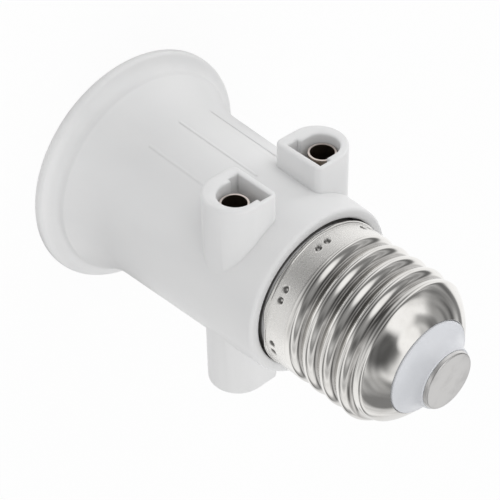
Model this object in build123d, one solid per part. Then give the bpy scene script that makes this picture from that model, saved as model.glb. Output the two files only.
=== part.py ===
from build123d import *
import os
from math import hypot

# Plug-in lamp holder. All lengths in millimetres, +Z up, mouth of the lamp socket down.
# The axis of both screw threads is Z; the outlets face -Y and +Y, their pins spaced along X.

# Edison thread E27 and the 19 mm two-pin outlet, the standard sizes everything follows
thread_pitch = 3.629
cap_major_radius = 13.15
cap_thread_depth = 0.85
thread_play = 0.25
socket_thread_depth = 0.95
crest_land = 0.95
root_land = 0.9
pin_spacing = 19.0
pin_bore_radius = 2.05

# Rolled sheet and small clearances
shell_sheet = 0.35
part_gap = 0.05
snug_gap = 0.1
loose_gap = 0.15
over = 1.0

# A bowed stretch of a turned outline is laid out in this many short cones
bow_steps = 4

# Lengths stacked along the axis, from the mouth up
mouth_depth = 7.5
socket_depth = 21.0
base_thickness = 2.5
outlet_rise = 6.5
chamber_head = 1.4
roof_thickness = 4.4
skirt_lift = 0.2
skirt_length = 5.4
groove_margin = 0.4
thread_length = 13.1
dome_margin = 1.1
dome_height = 3.55
insulator_height = 3.55
contact_height = 0.9

# Mouth and body of the housing
lip_radius = 22.1
lip_round = 0.3
lip_edge = 0.8
lip_wall = 1.4
fold_inset, fold_height = 0.75, 1.55
valley_inset, valley_height = 2.15, 2.35
valley_step, valley_rise = 0.45, 0.5
flare_inset, flare_height = 3.0, 4.2
flare_length = 8.3
flare_bow = 0.53
mouth_bow = 0.85
bore_flare_height = 11.0
bore_clearance = 0.55
body_wall = 2.15
collar_wall = 1.75
collar_round, collar_soften = 0.6, 0.18
collar_bevel = 0.35
collar_gap = 0.35
collar_groove_depth = 2.5
chamber_clearance, eyelet_clearance = 0.7, 0.3
neck_wall = 1.85
rib_spacing = 6.9
rib_width = 0.4
rib_rise = 0.15
rib_margin = 1.0

# Outlet towers and their wells
tower_proud = 4.5
tower_radius = 5.15
tower_centre_inset = 0.5
tower_flat_inset = 5.2
tower_corner = 1.2
tower_edge = 0.3
slot_wall = 1.1
slot_width = 2.1
slot_half_length = 3.75
well_inset = 0.3
well_wall = 2.1
well_web = 0.8

# Outlet sleeves and busbars
sleeve_wall = 0.3
sleeve_recess = 1.6
sheet = 0.6
tab_width = 1.2
plate_lift = 0.9
plate_edge = 1.35
plate_outer_margin = 0.35
plate_inner_margin = 0.85
lead_tab_width = 2.0
lead_tab_rise = 2.4
arm_rise = 4.0
arm_half_width = 1.9
shoulder_rise = 2.4
eyelet_wall = 1.2
lug_margin = 0.2

# Screws and rivet inside the lamp socket
screw_radius = 1.4
screw_head_radius = 2.1
screw_head_height = 1.3
screw_head_bevel = 0.5
screw_head_clearance = 0.35
screw_slot_width, screw_slot_depth = 0.6, 0.7
screw_slot_angle = 25.0
screw_tip_margin = 1.6
screw_boss_wall = 1.6
rivet_offset = 3.3
rivet_radius = 1.2
rivet_head_radius, rivet_head_height, rivet_head_bevel = 1.9, 0.6, 0.4

# Lamp socket floor and centre tongue
socket_flange = 0.4
socket_flange_bore = 6.4
socket_thread_gap = 1.2
base_key_width = 2.4
base_key_depth = 0.9
tongue_sheet = 0.35
tongue_half_width = 2.2
tongue_root = 2.0
tongue_flat = 2.1
tongue_drop, tongue_dip = 1.75, 0.5
tongue_slope_end = 3.0
tongue_tip = 1.6
tongue_rise = 3.2

# Screw cap
shell_wall = 0.4
skirt_inset = 0.05
step_height = 0.4
groove_phase = 2.16
run_out = 1.4
dome_bow = 1.21
dome_shoulder_inset, dome_shoulder_drop = 0.8, 1.5
stake_pairs = 8
stake_rise = 2.4
stake_pair_angle = 8.5
stake_first_angle = -80.5
stake_radius, stake_depth = 0.7, 0.5
stake_seat_depth, stake_seat_half = 0.7, 0.8
insulator_radius = 8.15
insulator_tip_radius = 5.35
insulator_collar = 0.25
insulator_bow = 0.53
insulator_flange_height = 1.05
insulator_hollow_radius, insulator_hollow_depth = 7.0, 3.15
contact_radius = 5.1
contact_edge = 0.15
contact_bevel = 0.35
contact_flat_radius = 2.85
contact_crown = 0.25
contact_shank_radius, contact_shank_bore = 1.5, 0.9
contact_shank_length = 4.7
contact_sheet = 0.2

# Leads
core_radius = 0.45
insulation_radius = 0.95
lead_rise = 4.5
lead_centring = 6.0
lead_lap = 3.2
lead_strip = 0.6
shank_lap = 1.6
neutral_offset = 6.0
notch_depth = 2.0
bare_end_length = 11.2
solder_radius = 0.85
solder_margin = 0.3

# Radii that follow from the standard sizes
cap_root_radius = cap_major_radius - cap_thread_depth
cap_shell_bore = cap_root_radius - shell_wall
skirt_radius = cap_major_radius - skirt_inset
socket_major_radius = cap_major_radius + thread_play
socket_minor_radius = socket_major_radius - socket_thread_depth
bore_radius = socket_major_radius + shell_sheet + bore_clearance
body_low_radius = bore_radius + body_wall
collar_groove_radius = skirt_radius + collar_gap
body_high_radius = collar_groove_radius + collar_wall
neck_radius = cap_shell_bore - loose_gap
neck_foot_radius = skirt_radius - shell_sheet - snug_gap
neck_bore_radius = neck_radius - neck_wall
dome_top_radius = insulator_radius + loose_gap
groove_crest_half = (thread_pitch - crest_land) / 2
groove_root_half = root_land / 2

# Outlets and busbars, across and along the pins
pole_x = pin_spacing / 2
sleeve_radius = pin_bore_radius + sleeve_wall
plate_outer = pole_x + sleeve_radius + plate_outer_margin
plate_inner = pole_x - sleeve_radius - plate_inner_margin
screw_offset = socket_minor_radius - screw_head_radius - screw_head_clearance
eyelet_radius = screw_radius + eyelet_wall
chamber_radius = max(plate_outer + chamber_clearance, screw_offset + eyelet_radius + eyelet_clearance)
tower_face = body_high_radius + tower_proud
tower_flat = pole_x - tower_flat_inset
tower_round_centre = pole_x - tower_centre_inset
well_centre = pole_x - well_inset
well_radius = tower_radius - well_wall
well_floor = chamber_radius + well_web
slot_near = tower_flat + slot_wall
slot_far = slot_near + slot_width
screw_boss_radius = screw_radius + screw_boss_wall
foot_near, foot_far = screw_offset - arm_half_width, screw_offset + arm_half_width

# Heights above the mouth plane
socket_rim_height = mouth_depth
socket_floor_height = socket_rim_height + socket_depth
base_back_height = socket_floor_height + base_thickness
outlet_height = base_back_height + outlet_rise
plate_low = base_back_height + plate_lift
plate_high = outlet_height + sleeve_radius + plate_edge
chamber_top_height = plate_high + chamber_head
lead_tab_top = chamber_top_height + lead_tab_rise
collar_height = chamber_top_height + roof_thickness
body_low_height = flare_height + flare_length
skirt_edge_height = collar_height + skirt_lift
stake_height = skirt_edge_height + stake_rise
cap_step_height = skirt_edge_height + skirt_length
neck_foot_height = cap_step_height - 2 * step_height
groove_start_height = cap_step_height + groove_margin
groove_end_height = groove_start_height + thread_length
groove_phase_height = groove_start_height + groove_phase
neck_top_height = groove_end_height - snug_gap
dome_start_height = groove_end_height + dome_margin
dome_top_height = dome_start_height + dome_height
insulator_tip_height = dome_top_height + insulator_height
cap_tip_height = insulator_tip_height + contact_height
contact_shank_low = insulator_tip_height - contact_shank_length
screw_end_height = chamber_top_height - screw_tip_margin


def body_radius(height):
    """Radius of the tapered body at a height."""
    share = (height - body_low_height) / (collar_height - collar_round - body_low_height)
    return body_low_radius + share * (body_high_radius - body_low_radius)


def turned(*steps):
    """Solid of revolution about Z from (radius, height) steps; a third number bows the way there."""
    points = []
    for last, step in zip(steps[-1:] + steps[:-1], steps):
        start, end = Vector(last[0], 0, last[1]), Vector(step[0], 0, step[1])
        if len(step) == 3:
            run = end - start
            bow = Vector(-run.Z, 0, run.X).normalized() * step[2]
            arc = ThreePointArc(start, (start + end) * 0.5 + bow, end)
            points += [arc @ (i / bow_steps) for i in range(1, bow_steps)]
        if (end - start).length > 1e-6:
            points.append(end)
    return revolve(make_face(Polyline(*points, close=True)), axis=Axis.Z)


def block(x0, x1, y0, y1, z0, z1):
    """Box between two corners."""
    box = Box(x1 - x0, y1 - y0, z1 - z0, align=(Align.MIN, Align.MIN, Align.MIN))
    return Pos(x0, y0, z0) * box


def post(radius, low, high, x=0.0, y=0.0):
    """Upright cylinder between two heights."""
    return Pos(x, y, low) * Cylinder(radius, high - low, align=(Align.CENTER, Align.CENTER, Align.MIN))


def cross_bar(radius, x, z, y0, y1):
    """Cylinder along Y between two stations."""
    bar = Cylinder(radius, y1 - y0, align=(Align.CENTER, Align.CENTER, Align.MIN))
    return Pos(x, y0, z) * Rot(-90, 0, 0) * bar


def side_plate(points, y0, y1):
    """Flat plate from (x, z) points, standing between two Y stations."""
    face = make_face(Polyline(*[(x, y0, z) for x, z in points], close=True))
    return extrude(face, amount=y1 - y0, dir=(0, 1, 0))


def folded(points, thickness):
    """Outline of a sheet folded along (along, up) points; the sheet lies to their left."""
    normals = []
    for (a, b), (c, d) in zip(points, points[1:]):
        run = hypot(c - a, d - b)
        normals.append(((b - d) / run, (c - a) / run))
    back = []
    for i, (along, up) in enumerate(points):
        first, second = normals[max(i - 1, 0)], normals[min(i, len(normals) - 1)]
        share = thickness / (1 + first[0] * second[0] + first[1] * second[1])
        back.append((along + share * (first[0] + second[0]), up + share * (first[1] + second[1])))
    return points + back[::-1]


def rod(points, radius):
    """Round rod along a folded line through points."""
    path = Polyline(*points)
    plane = Plane(origin=path @ 0, z_dir=path % 0)
    return sweep(plane * Circle(radius), path=path, transition=Transition.RIGHT)


def thread_groove(major, root, low, high, outward):
    """Right-handed helical groove body; it widens towards the side it opens to."""
    slope = (groove_crest_half - groove_root_half) / (major - root)
    floor_radius = root if outward else major
    reach = (major - root + shell_sheet) * (1 if outward else -1)
    wide = groove_crest_half + shell_sheet * slope
    turn = 360 * (low - groove_phase_height) / thread_pitch
    helix = Pos(0, 0, low) * Rot(0, 0, turn) * Helix(pitch=thread_pitch, height=high - low,
                                                     radius=floor_radius)
    start = helix @ 0
    across = Vector(start.X, start.Y, 0).normalized()
    plane = Plane(origin=start, x_dir=across, z_dir=helix % 0)
    outline = Polyline((0, -groove_root_half), (0, groove_root_half), (reach, wide), (reach, -wide),
                       close=True)
    return sweep(plane * make_face(outline), path=helix, is_frenet=True)


def tower_bars():
    """The four D-shaped outlet towers as two bars through the body."""
    near, centre, half, corner = tower_flat, tower_round_centre, tower_radius, tower_corner
    outline = [Line((near, corner - half), (near, half - corner)),
               RadiusArc((near, half - corner), (near + corner, half), corner),
               Line((near + corner, half), (centre, half)),
               ThreePointArc((centre, half), (centre + half, 0), (centre, -half)),
               Line((centre, -half), (near + corner, -half)),
               RadiusArc((near + corner, -half), (near, corner - half), corner)]
    end = Plane(origin=(0, -tower_face, outlet_height), x_dir=(1, 0, 0), z_dir=(0, -1, 0))
    bar = extrude(end * make_face(outline), amount=2 * tower_face, dir=(0, 1, 0))
    faces = bar.faces().sort_by(Axis.Y)
    bar = chamfer(faces[0].edges() + faces[-1].edges(), tower_edge)
    return [bar, mirror(bar, about=Plane.YZ)]


def outlet_wells():
    """The four openings: a slot on the flat side running into a round well, and the sleeve bores."""
    z = outlet_height
    cuts = []
    for pole in (-1, 1):
        slot_x = sorted((pole * slot_near, pole * slot_far))
        throat_x = sorted((pole * (slot_far - snug_gap), pole * well_centre))
        for side in (-1, 1):
            depth = sorted((side * well_floor, side * (tower_face + over)))
            cuts.append(block(*slot_x, *depth, z - slot_half_length, z + slot_half_length))
            cuts.append(block(*throat_x, *depth, z - well_radius, z + well_radius))
            cuts.append(cross_bar(well_radius, pole * well_centre, z, *depth))
        reach = well_floor + over
        cuts.append(cross_bar(sleeve_radius + part_gap, pole * pole_x, z, -reach, reach))
    return cuts


def mould_ribs():
    """Fine raised lines along the body in front of and behind the towers."""
    low, high = body_low_height + rib_margin, outlet_height - tower_radius + rib_margin
    skin = turned((0, low), (body_radius(low) + rib_rise, low), (body_radius(high) + rib_rise, high),
                  (0, high))
    reach = body_low_radius + over
    bars = [block(x - rib_width / 2, x + rib_width / 2, -reach, reach, low, high)
            for x in (-rib_spacing, 0, rib_spacing)]
    return [bar & skin for bar in bars]


def stake_marks(radius, size, depth):
    """Pairs of six-sided punch marks pressed inwards around the skirt."""
    mark = extrude(RegularPolygon(size, 6), amount=depth)
    marks = []
    for pair in range(stake_pairs):
        for shift in (-0.5, 0.5):
            angle = stake_first_angle + 360 / stake_pairs * pair + shift * stake_pair_angle
            marks.append(Rot(0, 0, angle) * Pos(radius - depth, 0, stake_height) * Rot(0, 90, 0) * mark)
    return marks


def housing_outside():
    """Outside of the housing from the lip to the top of the neck."""
    top, low = collar_height, stake_height
    groove_low, foot = top - collar_groove_depth, neck_foot_radius
    seat, half, slope = foot - stake_seat_depth, stake_seat_half, collar_bevel
    return turned(
        (0, 0), (lip_radius - lip_round, 0), (lip_radius, lip_round), (lip_radius, lip_edge),
        (lip_radius - fold_inset, fold_height), (lip_radius - valley_inset, valley_height),
        (lip_radius - valley_inset - valley_step, valley_height + valley_rise),
        (lip_radius - flare_inset, flare_height), (body_low_radius, body_low_height, flare_bow),
        (body_high_radius, top - collar_round),
        (body_high_radius - collar_soften, top - collar_soften),
        (body_high_radius - collar_round, top),
        (collar_groove_radius + collar_bevel, top), (collar_groove_radius, top - collar_bevel),
        (collar_groove_radius, groove_low), (foot, groove_low), (foot, low - half - slope),
        (seat, low - half), (seat, low + half), (foot, low + half + slope), (foot, neck_foot_height),
        (neck_radius, neck_foot_height), (neck_radius, neck_top_height), (0, neck_top_height))


def housing_inside():
    """Mouth flare, socket bore, wiring chamber and neck bore."""
    mouth, top = lip_radius - lip_wall, neck_top_height + over
    return turned(
        (0, -over), (mouth, -over), (mouth, 0), (bore_radius, bore_flare_height, mouth_bow),
        (bore_radius, base_back_height), (chamber_radius, base_back_height),
        (chamber_radius, chamber_top_height), (neck_bore_radius, chamber_top_height),
        (neck_bore_radius, top), (0, top))


def housing():
    """White moulding: flared mouth, body, four towers, collar and the neck for the cap."""
    solid = housing_outside() + tower_bars() + mould_ribs() - housing_inside()
    solid -= outlet_wells()
    for side, low in ((-1, base_back_height), (1, base_back_height + sheet)):
        solid += post(screw_boss_radius, low, chamber_top_height + over, 0, side * screw_offset)
        solid -= post(screw_radius + part_gap, low - over, screw_end_height + over, 0,
                      side * screw_offset)
    # key rib that stops the socket base from turning
    half = base_key_width / 2
    solid += block(bore_radius - base_key_depth, bore_radius + over, -half, half,
                   socket_floor_height, base_back_height)
    # notch and groove for the stripped end of the neutral lead
    half = core_radius + snug_gap
    outside = -neck_radius - over
    solid -= block(outside, over - neck_bore_radius, -half, half, neck_top_height - notch_depth,
                   neck_top_height + over)
    solid -= block(outside, 2 * core_radius + 2 * snug_gap - cap_shell_bore, -half, half,
                   neck_top_height - bare_end_length - over, neck_top_height)
    return solid


def cap_shell():
    """Rolled screw shell with plain skirt, thread, staking marks and rounded end."""
    inner = skirt_radius - shell_sheet
    tube = turned(
        (inner, skirt_edge_height), (skirt_radius, skirt_edge_height),
        (skirt_radius, cap_step_height - step_height), (cap_major_radius, cap_step_height),
        (cap_major_radius, dome_start_height), (dome_top_radius, dome_top_height, -dome_bow),
        (dome_top_radius, dome_top_height - shell_sheet),
        (cap_shell_bore - dome_shoulder_inset, dome_top_height - dome_shoulder_drop),
        (cap_shell_bore, dome_start_height), (cap_shell_bore, cap_step_height),
        (inner, cap_step_height - 1.5 * step_height))
    low, high = groove_start_height + step_height, groove_end_height
    floor, open_radius = cap_root_radius - loose_gap, cap_major_radius + loose_gap
    limit = turned((open_radius, low - run_out), (open_radius + over, low - run_out),
                   (open_radius + over, high + run_out), (open_radius, high + run_out),
                   (floor, high), (floor, low))
    tube -= thread_groove(cap_major_radius, cap_root_radius, low - run_out / 2, high, True) & limit
    tube += stake_marks(skirt_radius - loose_gap, stake_radius + loose_gap,
                        stake_depth + shell_sheet - loose_gap)
    return tube - stake_marks(skirt_radius + loose_gap, stake_radius, stake_depth + loose_gap)


def cap_insulator():
    """White insulating plug that closes the end of the screw shell."""
    hole, rim = contact_shank_radius + part_gap, cap_shell_bore - loose_gap
    foot = neck_top_height + part_gap
    return turned(
        (hole, foot + insulator_hollow_depth), (insulator_hollow_radius, foot + insulator_hollow_depth),
        (insulator_hollow_radius, foot), (rim, foot), (rim, foot + insulator_flange_height),
        (insulator_radius, dome_top_height - shell_sheet - snug_gap),
        (insulator_radius, dome_top_height + insulator_collar),
        (insulator_tip_radius, insulator_tip_height, insulator_bow), (hole, insulator_tip_height))


def cap_contact():
    """Round centre contact with its hollow shank for the live lead."""
    low = insulator_tip_height + part_gap / 2
    roof = low + contact_sheet
    return turned(
        (contact_shank_bore, contact_shank_low), (contact_shank_radius, contact_shank_low),
        (contact_shank_radius, low), (contact_radius, low), (contact_radius, low + contact_edge),
        (contact_radius - contact_bevel, cap_tip_height - contact_crown),
        (contact_flat_radius, cap_tip_height), (0, cap_tip_height), (0, roof),
        (contact_shank_bore, roof))


def socket_shell():
    """Rolled lamp socket shell with the inner thread and a flange held by the two screws."""
    wall, round_in = socket_major_radius + shell_sheet, shell_sheet
    low, high = socket_rim_height, socket_floor_height
    under = high - socket_flange
    tube = turned((socket_minor_radius, low + round_in), (socket_minor_radius + round_in, low),
                  (wall, low), (wall, high), (socket_flange_bore, high), (socket_flange_bore, under),
                  (socket_minor_radius, under))
    top = under - socket_thread_gap
    start = low - thread_pitch
    outer, inner = socket_major_radius + loose_gap, socket_minor_radius - loose_gap
    limit = turned((0, start - over), (outer, start - over), (outer, top - run_out), (inner, top),
                   (0, top))
    tube -= thread_groove(socket_major_radius, socket_minor_radius, start, top, False) & limit
    for side in (-1, 1):
        tube -= post(screw_radius + loose_gap, under - over, high + over, 0, side * screw_offset)
    return tube


def socket_base():
    """Insulating floor of the lamp socket; it carries the tongue and separates the poles."""
    low, high = socket_floor_height + part_gap / 2, base_back_height - part_gap / 2
    solid = post(bore_radius - snug_gap, low, high)
    for side in (-1, 1):
        solid -= post(screw_radius + loose_gap, low - over, high + over, 0, side * screw_offset)
    solid -= post(rivet_radius + part_gap, low - over, high + over, 0, rivet_offset)
    half = base_key_width / 2 + snug_gap
    return solid - block(bore_radius - base_key_depth - snug_gap, bore_radius + over, -half, half,
                         low - over, high + over)


def centre_tongue():
    """Springy strip: riveted root, falling bend and the tip that meets the lamp."""
    under = socket_floor_height - tongue_sheet
    end = rivet_offset - tongue_flat
    low = under - tongue_rise
    slope_foot = end - tongue_drop
    points = [(slope_foot - tongue_slope_end, low + tongue_dip), (slope_foot - tongue_tip, low),
              (slope_foot, low + tongue_dip), (end, under), (rivet_offset + tongue_root, under)]
    outline = folded(points, tongue_sheet)
    face = make_face(Polyline(*[(-tongue_half_width, y, z) for y, z in outline], close=True))
    strip = extrude(face, amount=2 * tongue_half_width, dir=(1, 0, 0))
    return strip - post(rivet_radius + part_gap / 2, low, socket_floor_height + over, 0, rivet_offset)


def tongue_rivet():
    """Rivet through tongue, base and live lug."""
    low, high = socket_floor_height - tongue_sheet, base_back_height + sheet
    radius, tall, slope = rivet_head_radius, rivet_head_height, rivet_head_bevel
    return Pos(0, rivet_offset, 0) * turned(
        (0, low - tall), (radius - slope, low - tall), (radius, low - tall + slope), (radius, low),
        (rivet_radius, low), (rivet_radius, high), (radius, high), (radius, high + tall - slope),
        (radius - slope, high + tall), (0, high + tall))


def socket_screws():
    """Two slotted screws that hold the shell and the base to the housing."""
    seat = socket_floor_height - socket_flange
    low, radius, half = seat - screw_head_height, screw_head_radius, screw_slot_width / 2
    screw = turned((0, low), (radius - screw_head_bevel, low), (radius, low + screw_head_bevel),
                   (radius, seat), (screw_radius, seat), (screw_radius, screw_end_height),
                   (0, screw_end_height))
    screw -= block(-radius, radius, -half, half, low - over, low + screw_slot_depth)
    return Compound(children=[
        Pos(0, side * screw_offset, 0) * Rot(0, 0, side * screw_slot_angle) * screw for side in (-1, 1)])


def sleeve(pole, side):
    """Outlet contact tube standing on the busbar plate, with two tabs through it."""
    start, end, half = sheet / 2, tower_face - sleeve_recess, tab_width / 2
    tube = cross_bar(sleeve_radius, 0, 0, -start + part_gap, end)
    tube -= cross_bar(pin_bore_radius, 0, 0, start, end + over)
    near, reach = pin_bore_radius, sleeve_radius + over
    waste = block(-reach, reach, -over, start, -reach, reach)
    for a, b in ((-reach, -near), (near, reach)):
        waste -= block(a, b, -over, over, -half, half) if side < 0 else block(-half, half, -over, over, a, b)
    tube -= waste
    if side < 0:
        tube = mirror(tube, about=Plane.XZ)
    return Pos(pole * pole_x, 0, outlet_height) * tube


def plate_slots(pole):
    """Slots in a busbar plate for the tabs of its two sleeves."""
    half, x, z = tab_width / 2 + part_gap, pole * pole_x, outlet_height
    near, far = pin_bore_radius - part_gap, sleeve_radius + part_gap
    cuts = []
    for a, b in ((-far, -near), (near, far)):
        cuts.append(block(x + a, x + b, -over, over, z - half, z + half))
        cuts.append(block(x - half, x + half, -over, over, z + a, z + b))
    return cuts


def live_busbar():
    """Stamped plate with the lead tab, the arm and the lug under the tongue rivet."""
    half, thick = rivet_head_radius + lug_margin, sheet / 2
    low, arm_top = base_back_height, base_back_height + arm_rise
    tab = plate_inner + lead_tab_width
    plate = side_plate([(-half, low), (half, low), (half, plate_low), (plate_outer, plate_low),
                        (plate_outer, plate_high), (tab, plate_high), (tab, lead_tab_top),
                        (plate_inner, lead_tab_top), (plate_inner, arm_top), (-half, arm_top)],
                       -thick, thick)
    lug = block(-half, half, -thick, rivet_offset + half, low, low + sheet)
    hole = post(rivet_radius + part_gap / 2, low - over, low + over, 0, rivet_offset)
    return plate + lug - plate_slots(1) - hole


def neutral_busbar():
    """Stamped plate with the lead tab and the curved foot clamped under one socket screw."""
    thick, low, tab = sheet / 2, base_back_height, plate_inner + lead_tab_width
    plate = side_plate([(-foot_far, low), (-foot_near, low), (-foot_near, plate_low),
                        (-plate_inner, plate_low + shoulder_rise - plate_lift),
                        (-plate_inner, lead_tab_top), (-tab, lead_tab_top), (-tab, plate_high),
                        (-plate_outer, plate_high), (-plate_outer, plate_low), (-foot_far, plate_low)],
                       -thick, thick)
    foot = post(foot_far, low, low + sheet) - post(foot_near, low - over, low + over)
    foot &= block(-foot_far, 0, -thick, foot_far, low, low + sheet)
    foot += post(eyelet_radius, low, low + sheet, 0, screw_offset)
    foot -= post(screw_radius + part_gap, low - over, low + over, 0, screw_offset)
    return plate + foot - plate_slots(-1)


def lead_start(pole):
    """Axis of a lead where it lies on the tab of its busbar."""
    return pole * (plate_inner + lead_tab_width / 2), sheet / 2 + core_radius + part_gap


def live_lead():
    """Lead from the live busbar to the cap contact."""
    x, y = lead_start(1)
    middle = [(x, y, lead_tab_top + lead_rise), (0, 0, neck_top_height - lead_centring)]
    bare = rod([(x, y, lead_tab_top - lead_lap)] + middle + [(0, 0, contact_shank_low + shank_lap)],
               core_radius)
    return bare + rod([(x, y, lead_tab_top + lead_strip)] + middle + [(0, 0, contact_shank_low - over)],
                      insulation_radius)


def neutral_lead():
    """Lead whose bare end is folded over the neck and trapped under the screw shell."""
    x, y = lead_start(-1)
    top = neck_top_height - core_radius - 2 * snug_gap
    inside = insulation_radius + 2 * loose_gap - neck_bore_radius
    outside = core_radius + snug_gap - cap_shell_bore
    bend = lead_tab_top + lead_rise
    middle = [(x, y, bend), (inside, 0, bend + neutral_offset)]
    fold = [(inside, 0, top), (outside, 0, top), (outside, 0, neck_top_height - bare_end_length)]
    bare = rod([(x, y, lead_tab_top - lead_lap)] + middle + fold, core_radius)
    return bare + rod([(x, y, lead_tab_top + lead_strip)] + middle + [(inside, 0, top - 2 * notch_depth)],
                      insulation_radius)


def tab_solder(pole):
    """Solder that holds a lead on the tab of its busbar."""
    low, high = lead_tab_top - lead_lap + solder_margin, lead_tab_top - solder_margin
    x, y = lead_start(pole)
    drop = post(solder_radius, low, high, x, y)
    drop &= block(x - over, x + over, sheet / 2, y + over, low, high)
    return drop - post(core_radius, low - over, high + over, x, y)


def contact_solder():
    """Solder that fills the shank of the cap contact around the live lead."""
    low, high = contact_shank_low + solder_margin, contact_shank_low + shank_lap
    return post(contact_shank_bore, low, high) - post(core_radius, low - over, high + over)


def main():
    os.makedirs("parts", exist_ok=True)
    pieces = {
        "housing": housing(),
        "screw_cap_shell": cap_shell(),
        "cap_insulator": cap_insulator(),
        "cap_centre_contact": cap_contact(),
        "lamp_socket_shell": socket_shell(),
        "socket_base": socket_base(),
        "lamp_centre_tongue": centre_tongue(),
        "tongue_rivet": tongue_rivet(),
        "socket_screws": socket_screws(),
        "live_busbar": live_busbar(),
        "neutral_busbar": neutral_busbar(),
        "live_front_sleeve": sleeve(1, -1),
        "live_rear_sleeve": sleeve(1, 1),
        "neutral_front_sleeve": sleeve(-1, -1),
        "neutral_rear_sleeve": sleeve(-1, 1),
        "live_lead": live_lead(),
        "neutral_lead": neutral_lead(),
        "live_tab_solder": tab_solder(1),
        "neutral_tab_solder": tab_solder(-1),
        "contact_solder": contact_solder(),
    }
    for name, solid in pieces.items():
        solid.label = name
        export_step(solid, f"parts/{name}.step")


main()
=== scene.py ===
"""Looks of the plug-in lamp holder: finishes, rolled threads, studio and camera around its solids."""
import logging
import math
from dataclasses import dataclass, field, replace
from enum import Enum
from typing import Any, Mapping, Sequence, Union

import bmesh
import bpy
from mathutils import Matrix, Vector


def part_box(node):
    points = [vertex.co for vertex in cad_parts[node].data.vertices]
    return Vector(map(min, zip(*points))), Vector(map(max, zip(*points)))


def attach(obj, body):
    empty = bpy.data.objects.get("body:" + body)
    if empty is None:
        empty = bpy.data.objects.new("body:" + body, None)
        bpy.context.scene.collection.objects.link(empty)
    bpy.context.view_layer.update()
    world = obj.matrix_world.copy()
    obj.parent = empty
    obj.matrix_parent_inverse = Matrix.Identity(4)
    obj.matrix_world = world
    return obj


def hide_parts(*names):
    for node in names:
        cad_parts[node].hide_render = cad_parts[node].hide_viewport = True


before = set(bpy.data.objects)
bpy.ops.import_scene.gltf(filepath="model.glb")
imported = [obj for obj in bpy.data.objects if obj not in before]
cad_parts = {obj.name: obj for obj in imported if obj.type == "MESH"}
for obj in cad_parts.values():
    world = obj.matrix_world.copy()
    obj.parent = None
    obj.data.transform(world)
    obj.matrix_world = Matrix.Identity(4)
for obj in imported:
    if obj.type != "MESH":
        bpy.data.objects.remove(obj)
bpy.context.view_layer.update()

MM = 0.001
BODY = "root"
log = logging.getLogger("lamp_holder")

Point = tuple[float, float]
Colour = tuple[float, float, float]
Item = Union["Value", bpy.types.NodeSocket, float, Sequence[float]]

OVERLAP = 1 * MM
BLACK: Colour = (0.0, 0.0, 0.0)
FLOOR_WHITE: Colour = (0.86, 0.86, 0.86)
GAP_SHADE: Colour = (0.20, 0.195, 0.19)
PUNCH_PAINTED_SHADE: Colour = (0.10, 0.095, 0.09)
GROOVE_BOTTOM_DARK: Colour = (0.22, 0.21, 0.20)
RIM_HIGHLIGHT_AND_BARE_METAL: Colour = (0.88, 0.79, 0.73)
TINNED_COPPER: Colour = (0.72, 0.45, 0.32)


class Value:
    """A number inside a node tree; arithmetic on it adds Math nodes."""

    def __init__(self, tree: "Tree", socket: bpy.types.NodeSocket) -> None:
        """Keep the tree and the output socket that carries the number."""
        self.tree = tree
        self.socket = socket

    def __add__(self, other: Item) -> "Value":
        """Sum."""
        return self.tree.math("ADD", self, other)

    def __radd__(self, other: Item) -> "Value":
        """Sum, with the number on the left."""
        return self.tree.math("ADD", other, self)

    def __sub__(self, other: Item) -> "Value":
        """Difference."""
        return self.tree.math("SUBTRACT", self, other)

    def __rsub__(self, other: Item) -> "Value":
        """Difference, with the number on the left."""
        return self.tree.math("SUBTRACT", other, self)

    def __mul__(self, other: Item) -> "Value":
        """Product."""
        return self.tree.math("MULTIPLY", self, other)

    def __rmul__(self, other: Item) -> "Value":
        """Product, with the number on the left."""
        return self.tree.math("MULTIPLY", other, self)

    def __truediv__(self, other: Item) -> "Value":
        """Quotient."""
        return self.tree.math("DIVIDE", self, other)

    def __pow__(self, other: Item) -> "Value":
        """Power."""
        return self.tree.math("POWER", self, other)

    def __mod__(self, other: Item) -> "Value":
        """Remainder that is never negative."""
        return self.tree.math("FLOORED_MODULO", self, other)

    def __abs__(self) -> "Value":
        """Size without its sign."""
        return self.tree.math("ABSOLUTE", self)

    def rounded(self) -> "Value":
        """Nearest whole number."""
        return self.tree.math("ROUND", self)

    def cosine(self) -> "Value":
        """Cosine of an angle in radians."""
        return self.tree.math("COSINE", self)

    def sine(self) -> "Value":
        """Sine of an angle in radians."""
        return self.tree.math("SINE", self)

    def root(self) -> "Value":
        """Square root."""
        return self.tree.math("SQRT", self)

    def larger(self, other: Item) -> "Value":
        """The larger of two numbers."""
        return self.tree.math("MAXIMUM", self, other)

    def ramp(self, low: Item, high: Item) -> "Value":
        """Smooth step from 0 at low to 1 at high."""
        return self.tree.value("ShaderNodeMapRange", {"Value": self, "From Min": low, "From Max": high},
                               interpolation_type="SMOOTHSTEP")


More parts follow.
